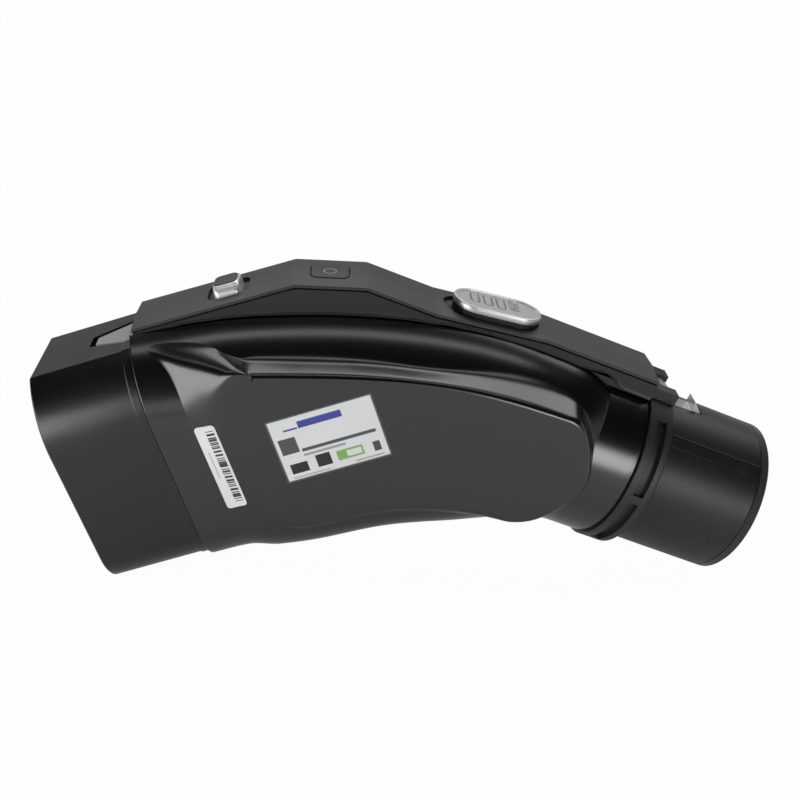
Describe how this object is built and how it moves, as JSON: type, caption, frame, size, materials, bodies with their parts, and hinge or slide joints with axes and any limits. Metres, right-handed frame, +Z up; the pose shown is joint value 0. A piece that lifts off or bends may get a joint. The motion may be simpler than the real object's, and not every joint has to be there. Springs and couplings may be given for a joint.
{
  "type": "ev charging adapter",
  "caption": "Handheld electric car charging adapter: bent black body with an inlet sleeve, a round latching plug, and a ridge on top with a lock knob, a power button and a release slider.",
  "frame": {"origin": "bottom centre of the bounding box, on the surface the adapter rests on", "axes": "+X from the inlet sleeve to the plug, +Y across to the far side, +Z up; the picture sees the -Y side"},
  "size_m": [0.3202, 0.0831, 0.1364],
  "materials": {
    "satin_black": "satin moulded plastic with a soft sheen",
    "matte_black": "matte moulded plastic",
    "cover_black": "fine textured matte plastic",
    "insulator_black": "matte moulded plastic",
    "contact": "silver plated",
    "lock_grey": "dark coated steel",
    "chrome": "polished",
    "knob_black": "gloss",
    "button_grey": "satin",
    "ring": "translucent",
    "silver": "satin",
    "steel": "ground",
    "label_white": "printed film",
    "label_grey": "printed film",
    "copper": "bare metal in a sleeve",
    "board_green": "coated",
    "cell_wrap": "film wrapped"
  },
  "bodies": {
    "housing": {"inlet_cap": "satin_black", "inlet_base": "insulator_black", "inlet_tower": "insulator_black", "power_tower_1": "insulator_black", "power_tower_2": "insulator_black", "earth_pin": "contact", "pilot_pin_1": "contact", "pilot_pin_2": "contact", "dc_pin_1": "contact", "dc_pin_2": "contact", "body_shell_near": "satin_black", "body_shell_far": "satin_black", "spine_base": "matte_black", "spine_cover": "cover_black", "plug_barrel": "satin_black", "plug_collar": "matte_black", "latch_pin": "steel", "latch_spring": "steel", "plug_floor": "insulator_black", "socket_tube_1": "insulator_black", "socket_tube_2": "insulator_black", "signal_block_1": "insulator_black", "signal_block_2": "insulator_black", "dc_socket_1": "contact", "dc_socket_2": "contact", "rating_label": "label_white", "serial_label": "label_grey", "dc_conductor_1": "copper", "dc_conductor_2": "copper", "control_board": "board_green", "battery_cell": "cell_wrap", "signal_socket_1": "contact", "signal_socket_2": "contact", "signal_socket_3": "contact", "signal_socket_4": "contact", "signal_socket_5": "contact", "signal_socket_6": "contact", "signal_socket_7": "contact", "signal_socket_8": "contact", "screw_1": "steel", "screw_2": "steel", "screw_3": "steel", "screw_4": "steel"},
    "knob": {"lock_knob": "chrome", "knob_top": "knob_black", "lock_plate": "lock_grey"},
    "button": {"power_button": "button_grey", "ring_light": "ring"},
    "slider": {"release_slider": "silver"},
    "latch": {"latch_claw": "steel"}
  },
  "joints": [
    {"name": "lock_slide", "type": "slide", "parent": "housing", "child": "knob", "axis": [0.9397, 0, 0.342], "range_m": [-0.0022, 0.0022]},
    {"name": "power_press", "type": "slide", "parent": "housing", "child": "button", "axis": [-0.0062, 0, -1], "range_m": [0, 0.0008], "stiffness_N_per_m": 400, "springref_m": -0.001},
    {"name": "release_slide", "type": "slide", "parent": "housing", "child": "slider", "axis": [-0.9777, 0, 0.2098], "range_m": [0, 0.0032], "stiffness_N_per_m": 300, "springref_m": -0.002},
    {"name": "latch_swing", "type": "hinge", "parent": "housing", "child": "latch", "pos_m": [0.11028, 0, 0.08649], "axis": [0, 1, 0], "range_deg": [0, 15]}
  ],
  "couplings": [
    {"joint": "latch_swing", "follows": "release_slide", "rad_per_m": 81.8}
  ]
}
